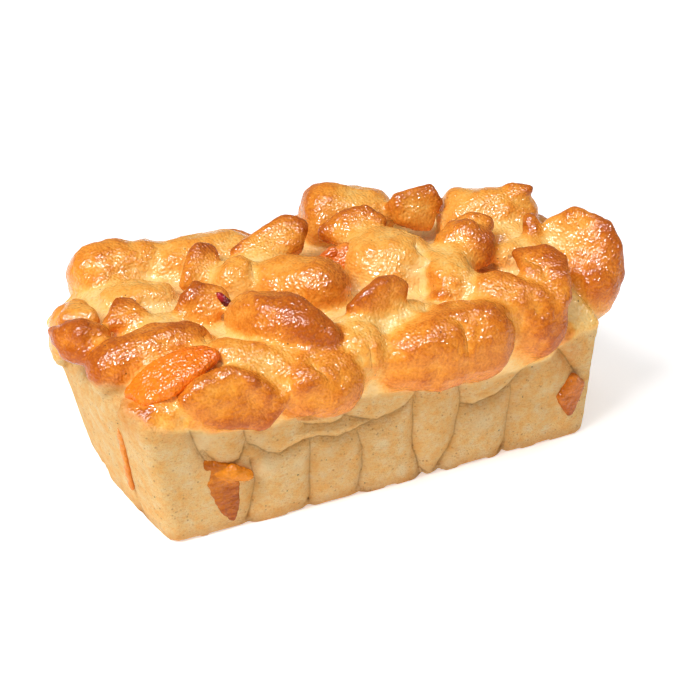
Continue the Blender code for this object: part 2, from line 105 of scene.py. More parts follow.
doughPieces = {
    "farLeft": dough((-107, 52, 76), (-70, 56, 79), 34, 32, (2.6, 2.6), toast=(0.45, 0.45, 0.35)),
    "leftEdge": dough((-111, 46, 66), (-120, 12, 66), 22, 26, toast=(0.35, 0.35, 0.4)),
    "leftPale": dough((-102, -6, 76), (-78, -12, 80), 20, 14, toast=(0.1, 0.0, 0.05)),
    "leftMiddle": dough((-104, 30, 76), (-72, 14, 80), 24, 20, (2.4, 2.4), toast=(0.1, 0.2, 0.1)),
    "frontSausage": dough((-126, -19, 69), (-74, -31, 81), 24, 23, (3.0, 2.4), -0.1, 0.15, 2,
                          toast=(0.8, 0.5, 0.65), crest=0.15),
    "egg": dough((-62, -18, 85), (-28, -59, 82), 26, 25, (2.4, 1.7), 0.0, 0.3, 2, 8,
                 toast=(0.35, 0.75, 1.1), crest=0.05),
    "centreLeftA": dough((-57, 10, 83), (-34, 2, 88), 20, 22, toast=(0.15, 0.2, 0.25)),
    "centreLeftB": dough((-40, 6, 84), (-6, -24, 85), 30, 27, (2.8, 2.6), 0.1, 0.2, 0, 12,
                         toast=(0.35, 0.42, 0.6), crest=0.1),
    "centreLeftBack": dough((-52, 22, 79), (-18, 12, 83), 24, 22, (2.4, 2.4), toast=(0.1, 0.05, 0.1)),
    "backLeftLow": dough((-76, 50, 80), (-19, 38, 82), 32, 24, (2.8, 2.8), toast=(0.3, 0.25, 0.15)),
    "backLeftFill": dough((-90, 54, 82), (-60, 50, 83), 24, 20, (2.4, 2.4), toast=(0.3, 0.3, 0.3)),
    "backFlap": dough((5, 46, 92), (48, 34, 89), 30, 31, (3.6, 2.8), -0.1, 0.3, 0, -10,
                      toast=(0.5, 0.1, 0.2), crest=0.25),
    "centreRound": dough((4, 3, 83), (42, -13, 83), 40, 34, (2.6, 2.6), toast=(0.2, 0.15, 0.1), crest=0.12),
    "backRight": dough((66, 24, 87), (109, 2, 88), 34, 31, (2.8, 2.6), 0.0, 0.15, toast=(0.15, 0.35, 0.4)),
    "backRightTip": dough((86, 12, 95), (106, 3, 104), 13, 12, (2.0, 1.4), 0.0, 0.5, toast=(0.3, 0.4, 0.7)),
    "rightMiddle": dough((72, 6, 82), (102, -14, 82), 26, 20, (2.4, 2.4), toast=(0.15, 0.1, 0.15)),
    "rightPale": dough((66, -24, 86), (100, -24, 84), 16, 14, toast=(0.05, 0.05, 0.1)),
    "rightEnd": dough((106, -20, 75), (114, -52, 65), 25, 34, (2.8, 2.8), toast=(0.5, 0.6, 0.4), crest=0.3),
    "rightSide": dough((106, 50, 58), (107, -50, 59), 18, 22, (4.0, 4.0), toast=(0.1, 0.1, 0.1)),
    "frontRight": dough((42, -42, 83), (82, -61, 60), 30, 34, (2.2, 2.8), 0.0, 0.2, toast=(0.4, 0.6, 0.85)),
    "frontMiddle": dough((-14, -58, 65), (54, -62, 70), 30, 36, (2.0, 2.8), 0.1, 0.1,
                         toast=(0.65, 0.7, 0.7), crest=-0.05),
    "frontCentreStrand": dough((-86, -38, 82), (-44, -60, 67), 20, 20, (2.0, 3.0), 0.0, 0.3,
                               toast=(0.25, 0.35, 0.45)),
    "frontCentre": dough((-58, -58, 67), (-20, -61, 63), 28, 30, (3.0, 2.6), 0.0, 0.15,
                         toast=(0.65, 0.65, 0.6), crest=0.0),
    "centreValley": dough((-20, -38, 80), (-15, -66, 66), 24, 24, toast=(0.0, 0.15, 0.45)),
    "frontCorner": dough((-122, -41, 64), (-96, -55, 64), 20, 12, (2.6, 2.6), toast=(0.35, 0.4, 0.35)),
    "centreRightLow": dough((44, -8, 86), (38, -46, 84), 24, 20, toast=(0.05, 0.05, 0.15)),
    "caramelLow": dough((25, -42, 80), (50, -36, 84), 14, 14, toast=(0.5, 0.5, 0.5)),
    "frontMiddleBack": dough((-12, -44, 77), (26, -48, 79), 20, 15, toast=(0.0, 0.1, 0.15)),
    "backEdge1": dough((-104, 58, 64), (-52, 60, 64), 28, 34, (2.2, 2.6), 0.0, 0.3, 0, 15,
                       toast=(0.5, 0.4, 0.5)),
    "backEdge2": dough((-58, 60, 66), (-4, 57, 68), 27, 36, (2.4, 2.0), 0.0, 0.3, 0, -15,
                       toast=(0.4, 0.5, 0.6)),
    "backEdge3": dough((-8, 58, 67), (44, 60, 70), 28, 38, (2.4, 2.6), 0.0, 0.2, toast=(0.5, 0.55, 0.5)),
    "backEdge4": dough((38, 56, 70), (84, 58, 68), 29, 36, (2.0, 2.4), 0.0, 0.4, 0, 15,
                       toast=(0.6, 0.6, 0.5)),
    "backEdge5": dough((80, 56, 68), (113, 34, 66), 28, 36, (2.6, 2.2), 0.0, 0.3, toast=(0.5, 0.6, 0.5)),
    "rightEdge": dough((111, 34, 68), (114, -10, 68), 25, 34, (2.4, 2.4), 0.0, 0.3, 0, -15,
                       toast=(0.5, 0.5, 0.4)),
}
# Torn and folded pieces with corners: each corner's place, its roundness, and how brown it is
cornerPieces = {
    "smallWedge": [(-103, 5, 90, 1.3, 0.9), (-109, -1, 83, 3.5, 0.7), (-103, -3, 81, 4, 0.5),
                   (-94, -1, 83, 3, 0.5), (-98, 4, 85, 5, 0.6), (-92, -7, 82, 2.5, 0.2)],
    "ear": [(-57, 25, 97, 3, 0.8), (-51, 26, 94, 3.5, 0.95), (-54, 21, 88, 4.5, 0.5),
            (-67, 15, 85, 3.5, 0.3), (-60, 21, 90, 5, 0.4), (-51, 17, 85, 4, 0.3)],
    "cherryWedge": [(-71, -5, 95, 1.2, 0.9), (-74, -7, 91, 3, 0.75), (-78, -8, 84, 4, 0.6),
                    (-69, -14, 82, 4, 0.45), (-61, -12, 86, 4, 0.4), (-61, -9, 90, 3, 0.4)],
    "upperLeftRidge": [(-38, 24, 91, 3.5, 0.85), (-31, 24, 93, 5, 0.45), (-13, 26, 102, 2.5, 0.6),
                       (-7, 23, 98, 4, 0.85), (-13, 19, 92, 6, 0.35), (-28, 18, 89, 5, 0.35)],
    "backUpright": [(44, 23, 102, 3, 0.5), (60, 21, 106, 2.2, 0.85), (63, 18, 99, 2.8, 0.6),
                    (57, 17, 88, 3, 0.3), (45, 20, 93, 4, 0.3), (42, 25, 97, 3, 0.6),
                    (52, 26, 92, 6, 0.15)],
    "knob": [(52, -15, 93, 8.5, 0.45), (58, -17, 97, 7.5, 0.62), (63, -21, 94, 6.5, 0.9),
             (62, -22, 89, 8, 0.7), (54, -22, 88, 8, 0.45)],
    "knobFold": [(64, -10, 100, 5, 0.6), (69, -14, 98, 4.5, 0.5), (53, -12, 99, 4, 0.6),
                 (62, -16, 96, 6, 0.6)],
    "centreRidge": [(7, 21, 93, 5, 0.6), (14, 19, 99, 4.5, 0.65), (24, 17, 101, 4, 0.7),
                    (29, 13, 97, 4, 0.55), (14, 14, 93, 7, 0.4)],
    "rightFinger": [(92, -17, 97, 4, 0.5), (92, -20, 93, 4.5, 0.7), (90, -23, 89, 4, 0.6)],
    "farRightFlap": [(101, -20, 92, 5, 0.2), (110, -27, 100, 4, 0.5), (120, -37, 96, 4, 0.65),
                     (122, -43, 86, 4, 0.75), (121, -46, 74, 4.5, 0.8), (112, -50, 73, 4, 0.6),
                     (103, -30, 84, 5, 0.2)],
    "rightDark": [(72, -37, 92, 3, 0.7), (83, -43, 93, 4, 0.7), (87, -48, 90, 4, 0.7),
                  (84, -56, 86, 4.5, 0.7), (83, -60, 78, 4, 0.6), (78, -64, 75, 2.5, 0.5),
                  (72, -48, 88, 5, 0.6)],
    "leftPoint": [(-132, 8, 81, 1.5, 0.9), (-129, 2, 80, 5, 0.7), (-123, -4, 83, 6, 0.7),
                  (-116, -6, 80, 6, 0.5), (-122, -9, 75, 6, 1.0), (-127, -4, 75, 5, 0.9)],
    "leftSmall": [(-116, 20, 82, 5, 0.25), (-124, 12, 82, 4, 0.35), (-114, 8, 82, 5, 0.2)],
    "frontLeftFlap": [(-98, -58, 70, 4, 0.6), (-92, -57, 74, 5, 0.5), (-80, -58, 77, 5, 0.6),
                      (-72, -62, 75, 4, 0.75), (-59, -66, 65, 3.5, 0.6), (-66, -67, 58, 2.5, 1.0),
                      (-69, -64, 55, 3, 0.8), (-83, -61, 62, 6, 0.8), (-95, -58, 65, 5, 0.6)],
    "finger": [(-16, -45, 88, 2.5, 0.75), (-10, -46, 92, 4, 0.75), (-2, -45, 95, 4.5, 0.65),
               (5, -44, 95, 4.5, 0.6), (9, -45, 93, 3.5, 0.7), (-8, -47, 84, 4, 0.5),
               (5, -46, 85, 4, 0.45)],
}
pieceMesh = {"around": 40, "along": 24, "lumps": 0.16, "lumpCount": 1.6, "ridgePinch": 0.6, "ballLevel": 2,
             "tip": 0.97, "blend": 1.5, "patchStep": (7.3, 3.1, 0)}


def addDough(bm, shape, number):
    lump = bmesh.new()
    made = bmesh.ops.create_uvsphere(lump, u_segments=pieceMesh["around"], v_segments=pieceMesh["along"],
                                     radius=1)
    patch = Vector([step * number for step in pieceMesh["patchStep"]])  # its own lumps for each piece
    for vert in made["verts"]:
        u = max(-1.0, min(1.0, vert.co.z))
        blunt = shape["blunt"][0 if u < 0 else 1]
        angle = math.atan2(vert.co.y, vert.co.x)
        bulge = 1 + pieceMesh["lumps"] * noise.noise(vert.co * pieceMesh["lumpCount"] + patch)
        radius = bulge * (1 - abs(u) ** blunt) ** (1 / blunt) * (1 + shape["taper"] * u)
        pinch = 1 - pieceMesh["ridgePinch"] * shape["ridge"] * max(0.0, math.sin(angle)) ** 2
        across = shape["width"] / 2 * radius * math.cos(angle) * pinch
        rise = shape["height"] / 2 * radius * math.sin(angle) + shape["arch"] * (1 - u * u)
        vert.co = (shape["middle"] + shape["along"] * (shape["half"] * u) + shape["side"] * across
                   + shape["up"] * rise)
    takeIn(bm, lump)


def addCornerPiece(bm, corners):
    wedge = bmesh.new()
    for x, y, z, radius, toast in corners:
        ball = Matrix.Translation((x, y, z))
        bmesh.ops.create_icosphere(wedge, subdivisions=pieceMesh["ballLevel"], radius=radius, matrix=ball)
    hull = bmesh.ops.convex_hull(wedge, input=wedge.verts[:])
    kept = {part for part in hull["geom"] if isinstance(part, bmesh.types.BMFace)}
    bmesh.ops.delete(wedge, geom=[face for face in wedge.faces if face not in kept], context="FACES")
    loose = [vert for vert in wedge.verts if not vert.link_faces]
    bmesh.ops.delete(wedge, geom=loose, context="VERTS")
    bmesh.ops.recalc_face_normals(wedge, faces=wedge.faces[:])
    takeIn(bm, wedge)


def takeIn(bm, part):
    partMesh = meshFrom("part", part)
    bm.from_mesh(partMesh)
    bpy.data.meshes.remove(partMesh)


def newObject(name, data):
    obj = bpy.data.objects.new(name, data)
    bpy.context.scene.collection.objects.link(obj)
    return obj


def meshFrom(name, bm):
    mesh = bpy.data.meshes.new(name)
    bm.to_mesh(mesh)
    bm.free()
    return mesh


def bakeModifiers(obj):
    graph = bpy.context.evaluated_depsgraph_get()
    baked = bpy.data.meshes.new_from_object(obj.evaluated_get(graph))
    spare = obj.data
    obj.modifiers.clear()
    obj.data = baked
    bpy.data.meshes.remove(spare)


def joinAsOneSkin(obj, step):
    remesh = obj.modifiers.new("oneSkin", "REMESH")
    remesh.mode = "VOXEL"
    remesh.voxel_size = step
    bakeModifiers(obj)


# Drops closed shells that lie inside, where the lumps leave a hollow between them
def keepLargestShell(mesh):
    bm = bmesh.new()
    bm.from_mesh(mesh)
    unseen = set(bm.verts)
    shells = []
    while unseen:
        front = [unseen.pop()]
        shell = list(front)
        while front:
            for edge in front.pop().link_edges:
                for other in edge.verts:
                    if other in unseen:
                        unseen.remove(other)
                        shell.append(other)
                        front.append(other)
        shells.append(shell)
    outer = max(shells, key=len)
    bmesh.ops.delete(bm, geom=[v for shell in shells if shell is not outer for v in shell], context="VERTS")
    bm.to_mesh(mesh)
    bm.free()


def places(mesh):
    found = np.empty(len(mesh.vertices) * 3)
    mesh.vertices.foreach_get("co", found)
    return found.reshape(-1, 3)


def setPlaces(mesh, co):
    mesh.vertices.foreach_set("co", co.ravel())
    mesh.update()


def outward(mesh):
    found = np.empty(len(mesh.vertices) * 3)
    mesh.vertex_normals.foreach_get("vector", found)
    return found.reshape(-1, 3)


# Averages each vertex with its neighbours, a number of rounds, and keeps a share of its own value
def spread(values, pairs, rounds, keep=0.3):
    count = len(values)
    links = np.bincount(pairs.ravel(), minlength=count)
    flat = values.reshape(count, -1).copy()
    for step in range(rounds):
        total = np.zeros_like(flat)
        for column in range(flat.shape[1]):
            total[:, column] = np.bincount(pairs[:, 0], flat[pairs[:, 1], column], count)
            total[:, column] += np.bincount(pairs[:, 1], flat[pairs[:, 0], column], count)
        flat = flat * keep + total / links[:, None] * (1 - keep)
    return flat.reshape(values.shape)


def edgePairs(mesh):
    found = np.empty(len(mesh.edges) * 2, dtype=np.int32)
    mesh.edges.foreach_get("vertices", found)
    return found.reshape(-1, 2)


def smoothStep(values, low, high):
    share = np.clip((values - low) / (high - low), 0, 1)
    return share * share * (3 - 2 * share)


def noiseAt(co, spacing, offset=0.0, octaves=1):
    shift = Vector((offset, offset * 1.7, offset * 0.6))
    if octaves == 1:
        return np.array([noise.noise(Vector(p) / spacing + shift) for p in co])
    return np.array([noise.fractal(Vector(p) / spacing + shift, 1.0, 2.0, octaves) for p in co])


# Distance to the nearest of several lines, and the same with a sign for the side of it
def nearestSeam(points, routes, normal=None):
    gap = np.full(len(points), farAway)
    side = np.full(len(points), farAway)
    for route in routes:
        corners = np.array(route, float)
        for first, second in zip(corners, corners[1:]):
            run = second - first
            offset = points - first
            share = np.clip(offset @ run / (run @ run), 0, 1)
            reach = np.linalg.norm(offset - share[:, None] * run, axis=1)
            if normal is None:
                across = run[0] * offset[:, 1] - run[1] * offset[:, 0]
            else:
                across = (np.cross(run, normal) * offset).sum(axis=1)
            near = reach < gap
            gap[near] = reach[near]
            side[near] = across[near] / np.linalg.norm(run)
    return gap, side


# How far outside each dough piece a point lies, and how brown that piece is there
def closeness(co, shape):
    local = co - np.array(shape["middle"])
    u = local @ np.array(shape["along"]) / shape["half"]
    near = np.clip(u, -pieceMesh["tip"], pieceMesh["tip"])
    across = local @ np.array(shape["side"]) / (shape["width"] / 2)
    rise = (local @ np.array(shape["up"]) - shape["arch"] * (1 - near ** 2)) / (shape["height"] / 2)
    lift = np.clip(rise / np.maximum(np.hypot(across, rise), tiny), 0, 1) ** 2
    across = across / (1 - pieceMesh["ridgePinch"] * shape["ridge"] * lift)
    blunt = np.where(u < 0, shape["blunt"][0], shape["blunt"][1])
    radius = (1 - np.abs(near) ** blunt) ** (1 / blunt) * (1 + shape["taper"] * near)
    gap = (np.hypot(across, rise) - radius) * min(shape["width"], shape["height"]) / 2
    gap = gap + np.maximum(np.abs(u) - pieceMesh["tip"], 0) * shape["half"]
    brown = np.interp(u, (-1, 0, 1), shape["toast"]) + shape["crest"] * np.clip(rise, -1, 1)
    return gap, brown


# The same for a cornered piece, from the runs between its corners
def cornerCloseness(co, corners):
    gap = np.full(len(co), farAway)
    total = np.zeros(len(co))
    brown = np.zeros(len(co))
    for x, y, z, radius, toast in corners:
        reach = np.linalg.norm(co - (x, y, z), axis=1)
        share = 1 / (np.clip(reach - radius, 0, None) + pieceMesh["blend"]) ** 2
        total += share
        brown += share * toast
    for first, second in itertools.combinations(corners, 2):
        start = np.array(first[:3], float)
        run = np.array(second[:3], float) - start
        share = np.clip((co - start) @ run / (run @ run), 0, 1)
        radius = first[3] + (second[3] - first[3]) * share
        gap = np.minimum(gap, np.linalg.norm(co - start - share[:, None] * run, axis=1) - radius)
    return gap, brown / total


# Seams on the sides where dough pieces met in the tin: places along X, or along Y on the ends, and up Z
frontSeams = [
    [(-104, 69), (-100, 62), (-97, 55), (-94, 46), (-90, 38)],
    [(-91, 44), (-85, 36), (-80, 34), (-75, 35), (-73, 40), (-72, 45), (-74, 52)],
    [(-49, 53), (-47, 48), (-45, 45), (-32, 42), (-27, 43), (-26, 45), (-26, 52)],
    [(-71, 42), (-67, 40), (-62, 35), (-56, 33), (-51, 35), (-44, 37), (-38, 37), (-29, 34), (-22, 35),
     (-17, 37), (-10, 38), (-2, 39), (4, 41), (8, 45), (11, 52)],
    [(-26, 45), (-23, 43), (-16, 40), (-10, 38)],
    [(-42, 37), (-41, 27), (-41, 16), (-40, 5), (-41, 0)],
    [(-19, 34), (-16, 25), (-15, 14), (-16, 7), (-16, 0)],
    [(8, 46), (8, 40), (9, 31), (9, 24), (10, 17), (13, 10), (15, 0)],
    [(30, 47), (32, 41), (33, 35), (32, 28), (31, 18), (29, 12), (25, 5), (24, 0)],
    [(33, 35), (40, 32), (45, 33), (52, 34), (58, 38), (63, 43), (69, 48)],
    [(59, 39), (60, 34), (60, 25), (60, 16), (60, 7), (58, 0)],
    [(83, 51), (88, 45), (95, 35)],
    [(-70, 34), (-67, 22), (-69, 8), (-70, 0)],
]
faintSeams = [
    [(63, 34), (71, 26), (77, 21), (84, 21)],
    [(38, 10), (33, 11), (28, 8)],
    [(36, 39), (48, 37), (56, 42)],
]
leftSeams = [
    [(-41, 71), (-36, 62), (-31, 45), (-26, 25), (-24, 12), (-25, 0)],
    [(18, 60), (14, 42), (17, 20), (15, 0)],
]
rightSeams = [
    [(-60, 49), (-45, 46), (-25, 45), (0, 47), (30, 45), (60, 48)],
]
# Creases of the crust, as places in mm
crustSeams = [
    [(-40, 3, 95), (-42, -3, 92), (-44, -9, 88)],
    [(-74, -31, 85), (-78, -33, 85), (-82, -45, 84), (-80, -51, 80)],
    [(-44, -65, 79), (-43, -68, 77), (-40, -72, 72)],
    [(35, -2, 98), (33, -16, 96), (33, -25, 93), (29, -25, 90), (26, -26, 89)],
    [(27, -27, 87), (27, -29, 80), (16, -53, 84)],
    [(56, -11, 103), (61, -12, 104), (64, -17, 103)],
    [(24, -68, 84), (26, -71, 80), (25, -75, 72), (25, -75, 65)],
    [(49, -67, 80), (56, -67, 74), (61, -69, 70)],
    [(74, -30, 87), (72, -46, 93), (76, -52, 91), (75, -56, 89)],
    [(-17, -64, 79), (-17, -66, 74), (-17, -66, 68)],
    [(-102, -57, 70), (-100, -60, 63)],
    [(-78, -60, 76), (-72, -66, 68), (-68, -68, 60)],
    [(-70, 42, 92), (-72, 36, 88), (-68, 30, 84)],
    [(-96, 30, 84), (-90, 24, 86), (-80, 22, 86)],
    [(60, 8, 92), (64, 4, 92), (70, -2, 90)],
]
# Where the crust ends on each side: along X on the front and back, along Y on the ends
crustEdge = {
    "front": [(-115, 62), (-102, 57), (-89, 54), (-76, 51), (-62, 50), (-49, 54), (-30, 53), (-13, 53),
              (2, 52), (19, 50), (35, 46), (51, 45), (67, 46), (77, 48), (86, 55), (96, 58), (107, 57)],
    "back": [(-110, 52), (-80, 47), (-52, 52), (-30, 46), (-6, 52), (20, 46), (42, 52), (62, 47), (84, 53),
             (108, 49)],
    "left": [(-60, 62), (-45, 69), (-32, 70), (-18, 70), (0, 66), (20, 60), (44, 52), (60, 50)],
    "right": [(-60, 57), (-45, 56), (-20, 54), (-8, 57), (20, 52), (36, 56), (60, 50)],
}
# Golden juice stains: place, reach and strength
stains = [(88, -60, 45, 8, 0.9), (80, -60, 50, 5, 0.8), (-118, -46, 64, 10, 0.9), (-106, -57, 63, 8, 0.7),
          (-84, -57, 36, 7, 0.4), (-72, -60, 30, 6, 0.35), (60, -62, 30, 9, 0.25), (-30, -62, 20, 10, 0.2)]
# Caramel in hollows and at tips of the crust: place, reach and strength
caramel = [(38, -22, 87, 8, 0.35), (30, -34, 85, 6, 0.45), (16, -3, 92, 7, 0.15), (-115, -54, 68, 4, 0.35),
           (64, -23, 93, 5, 0.3), (84, -50, 92, 7, 0.3), (120, -38, 94, 8, 0.25), (-32, -56, 84, 7, 0.3),
           (112, -46, 66, 11, 0.4)]
# Pale smooth spots on the sides: place, reach and strength
paleSpots = [(-62, -57, 29, 5, 0.8), (-47, -57, 26, 4, 0.9), (4, -56, 8, 3, 0.9), (-7, -58, 26, 2.5, 0.9),
             (44, -57, 22, 6, 0.6), (-33, -58, 29, 3, 0.5), (-92, -60, 50, 6, 0.6), (-66, -56, 44, 4, 0.6),
             (-98, -55, 38, 5, 0.4), (30, -57, 4, 4, 0.5), (-113, 10, 40, 8, 0.5), (20, 58, 20, 6, 0.6)]
# Seams made up for the back and the right end, which aren't seen
unseenSeams = {"pitch": 25, "fewest": 3, "shift": 4, "lean": 4, "sway": 3, "top": (32, 50),
               "longSide": 60, "waveSteps": 11, "waveReach": 0.9, "waveHeight": (30, 46),
               "backSeed": 3, "endSeed": 8}


def madeUpSeams(halfLength, seed):
    draw = random.Random(seed)
    count = max(unseenSeams["fewest"], round(2 * halfLength / unseenSeams["pitch"]))
    seams = []
    for step in range(1, count):
        place = -halfLength + 2 * halfLength * step / count
        place += draw.uniform(-unseenSeams["shift"], unseenSeams["shift"])
        lean = draw.uniform(-unseenSeams["lean"], unseenSeams["lean"])
        top = draw.uniform(*unseenSeams["top"])
        sway = draw.uniform(-unseenSeams["sway"], unseenSeams["sway"])
        seams.append([(place + sway, top), (place + lean, top * 0.6), (place + lean * 0.7, top * 0.3),
                      (place, 0)])
    if halfLength > unseenSeams["longSide"]:  # a wavy seam across the back
        steps = unseenSeams["waveSteps"]
        reach = halfLength * unseenSeams["waveReach"]
        seams.append([(-reach + 2 * reach * step / steps, draw.uniform(*unseenSeams["waveHeight"]))
                      for step in range(steps + 1)])
    return seams


# Which wall each point is nearest to, its place along that wall and how deep behind it
def wallPlaces(co):
    rise = co[:, 2] / tin["rimHeight"]
    halfLength = tin["baseLength"] / 2 + (tin["rimLength"] - tin["baseLength"]) / 2 * rise
    halfWidth = tin["baseWidth"] / 2 + (tin["rimWidth"] - tin["baseWidth"]) / 2 * rise
    lean = tin["rimLean"] * rise
    depths = np.stack([halfWidth + co[:, 1], halfWidth - co[:, 1], halfLength + co[:, 0] - lean,
                       halfLength - co[:, 0] + lean])
    wall = depths.argmin(axis=0)
    return wall, np.where(wall < 2, co[:, 0], co[:, 1]), depths.min(axis=0)


bow = {"leftEnd": 5, "rightEnd": 3, "side": 2, "top": 66, "fade": 12, "endPower": 6, "sidePower": 4}


# The walls belly out a little between their corners, up to just under the crust
def bowOut(co):
    halfLength, halfWidth = tin["baseLength"] / 2, tin["baseWidth"] / 2
    fade = np.clip((bow["top"] - co[:, 2]) / bow["fade"], 0, 1)
    out = fade * np.clip(1 - (co[:, 1] / halfWidth) ** 2, 0, None)
    out = out * np.minimum(1, np.abs(co[:, 0]) / halfLength) ** bow["endPower"]
    swell = fade * np.clip(1 - (co[:, 0] / halfLength) ** 2, 0, None)
    swell = swell * np.minimum(1, np.abs(co[:, 1]) / halfWidth) ** bow["sidePower"]
    moved = co.copy()
    moved[:, 0] += np.where(co[:, 0] > 0, bow["rightEnd"], -bow["leftEnd"]) * out
    moved[:, 1] += np.sign(co[:, 1]) * bow["side"] * swell
    return moved


skin = {
    "step": 1.15, "settleRounds": 2, "fillRounds": 26, "uneven": 0.7, "unevenSpacing": 17, "ripple": 0.22,
    "rippleSpacing": 4, "margin": 0.1, "baseFlat": 0.6, "triangles": 194000,
}


def makeLoafMesh():
    bm = bmesh.new()
    addTinBody(bm)
    for number, shape in enumerate(doughPieces.values()):
        addDough(bm, shape, number)
    for corners in cornerPieces.values():
        addCornerPiece(bm, corners)
    loaf = newObject("loaf_bread", meshFrom("loaf_bread", bm))
    joinAsOneSkin(loaf, skin["step"])
    keepLargestShell(loaf.data)
    return loaf


loaf = makeLoafMesh()
mesh = loaf.data
pairs = edgePairs(mesh)
co = spread(places(mesh), pairs, skin["settleRounds"])
print("joined the dough:", len(co), "vertices")

# Fill the valleys between the lumps a little, and leave the crests as they are
for step in range(skin["fillRounds"]):
    setPlaces(mesh, co)
    normal = outward(mesh)
    move = spread(co, pairs, 1) - co
    rising = np.clip((move * normal).sum(axis=1), 0, None)
    co = co + move * (rising > 0)[:, None]
setPlaces(mesh, co)
normal = outward(mesh)

# Seams and puffs on the sides, in mm
seamShape = {"depth": 0.7, "width": 0.8, "puff": 2.6, "puffWidth": 4, "faintDepth": 0.5, "faintWidth": 0.8,
             "steepest": 0.7, "above": 4, "below": 2}
wall, along, depth = wallPlaces(co)
wallPoints = np.stack([along, co[:, 2]], axis=1)
backSeams = madeUpSeams(tin["baseLength"] / 2, unseenSeams["backSeed"])
endSeams = madeUpSeams(tin["baseWidth"] / 2, unseenSeams["endSeed"])
wallSeams = [frontSeams, backSeams, leftSeams, endSeams + rightSeams]
seamGap = np.full(len(co), farAway)
seamSide = np.full(len(co), farAway)
for index, seams in enumerate(wallSeams):
    on = wall == index
    seamGap[on], seamSide[on] = nearestSeam(wallPoints[on], seams)
faintGap = np.full(len(co), farAway)
onFront = wall == 0
faintGap[onFront] = nearestSeam(wallPoints[onFront], faintSeams)[0]
edgeHeight = np.zeros(len(co))
for index, name in enumerate(("front", "back", "left", "right")):
    on = wall == index
    edgeHeight[on] = np.interp(along[on], *zip(*crustEdge[name]))
onSide = smoothStep(co[:, 2], edgeHeight + seamShape["above"], edgeHeight - seamShape["below"])
onSide = (np.abs(normal[:, 2]) < seamShape["steepest"]) * onSide
sink = seamShape["depth"] * np.exp(-seamGap / seamShape["width"])
sink += seamShape["puff"] * np.exp(-seamGap / seamShape["puffWidth"])
sink += seamShape["faintDepth"] * np.exp(-faintGap / seamShape["faintWidth"])

# Creases and soft folds of the crust, in mm
creaseShape = {"depth": 1.3, "width": 0.8, "dip": 1.3, "dipWidth": 3, "reach": 3}
foldShape = {"upward": (40, 60), "wave": 0.65, "waveSpacing": 7, "fold": 0.6, "foldSpacing": 11, "lift": 0.2}
creaseGap, creaseSide = nearestSeam(co, crustSeams, normal)
crease = creaseShape["depth"] * np.exp(-creaseGap / creaseShape["width"])
crease += creaseShape["dip"] * np.exp(-creaseGap / creaseShape["dipWidth"])
uneven = skin["uneven"] * noiseAt(co, skin["unevenSpacing"])
uneven += skin["ripple"] * noiseAt(co, skin["rippleSpacing"], offset=5)
folds = foldShape["wave"] * noiseAt(co, foldShape["waveSpacing"], offset=12, octaves=2)
folds -= foldShape["fold"] * np.abs(noiseAt(co, foldShape["foldSpacing"], offset=21))
folds = smoothStep(co[:, 2], *foldShape["upward"]) * (folds + foldShape["lift"])
co = co + normal * (uneven + folds - sink * onSide - crease * (1 - onSide))[:, None]
# Distance to the nearest crease or side seam, for a groove in the relief and for a painted shade line along
# it
onCrease = creaseGap < np.minimum(seamGap, creaseShape["reach"])
lineReach = 9
lineGap = np.where(onCrease, creaseGap, np.where(onSide > 0.5, seamGap, lineReach))
lineSide = np.where(onCrease, creaseSide, seamSide)
co = bowOut(co)

# Where a seam meets the base the edge is notched
notchShape = {"width": 2.4, "inward": (9, 3), "upward": (9, 0), "lift": 2.6, "least": 0.6, "spacing": 14}
notch = np.exp(-(seamGap / notchShape["width"]) ** 2) * smoothStep(depth, *notchShape["inward"])
notch = notch * smoothStep(co[:, 2], *notchShape["upward"])
lift = notchShape["lift"] * notch * (notchShape["least"] + noiseAt(co, notchShape["spacing"], offset=30))
co = np.clip(co, np.array(cadLow) / mm + skin["margin"], np.array(cadHigh) / mm - skin["margin"])
co[:, 2] = np.where(co[:, 2] < skin["baseFlat"], 0, co[:, 2]) + np.clip(lift, 0, None)
print("pressed the seams")


def spotted(spots):
    cover = np.zeros(len(co))
    for x, y, z, reach, strength in spots:
        cover = np.maximum(cover, strength * np.exp(-((co - (x, y, z)) ** 2).sum(axis=1) / reach ** 2))
    return cover


# How brown each place is: its dough piece, then crests browner and valleys paler
baking = {
    "baseWeight": 0.05, "baseToast": 0.08, "blend": 1.3, "smallRounds": 10, "smallShare": 0.16,
    "smallSize": 0.5, "smallLimits": (-1.5, 1), "largeRounds": 90, "largeShare": 0.2, "largeSize": 3,
    "largeLimits": (-1.3, 1), "valleyPale": 0.12, "valley": (0.5, 4), "softenRounds": 2, "patchy": 0.10,
    "patchSpacing": 9, "edgeWave": 1.6, "edgeWaveSpacing": 6, "edgeBlend": 1.2, "seamWidth": 2.2,
    "faintShare": 0.5, "faintWidth": 0.7,
}
totalWeight = np.full(len(co), baking["baseWeight"])
brown = totalWeight * baking["baseToast"]
valley = np.full(len(co), farAway)
nearness = [closeness(co, shape) for shape in doughPieces.values()]
nearness += [cornerCloseness(co, corners) for corners in cornerPieces.values()]
for gap, toastHere in nearness:
    weight = np.exp(-np.clip(gap, 0, None) / baking["blend"])
    totalWeight += weight
    brown += weight * toastHere
    valley = np.minimum(valley, np.clip(gap, 0, None))
toast = brown / totalWeight
setPlaces(mesh, co)
normal = outward(mesh)
smallScale = ((co - spread(co, pairs, baking["smallRounds"])) * normal).sum(axis=1)
largeScale = ((co - spread(co, pairs, baking["largeRounds"])) * normal).sum(axis=1)
toast += baking["smallShare"] * np.clip(smallScale / baking["smallSize"], *baking["smallLimits"])
toast += baking["largeShare"] * np.clip(largeScale / baking["largeSize"], *baking["largeLimits"])
toast -= baking["valleyPale"] * smoothStep(valley, *baking["valley"])
toast += baking["patchy"] * noiseAt(co, baking["patchSpacing"], offset=3, octaves=3)
toast += spotted(caramel)
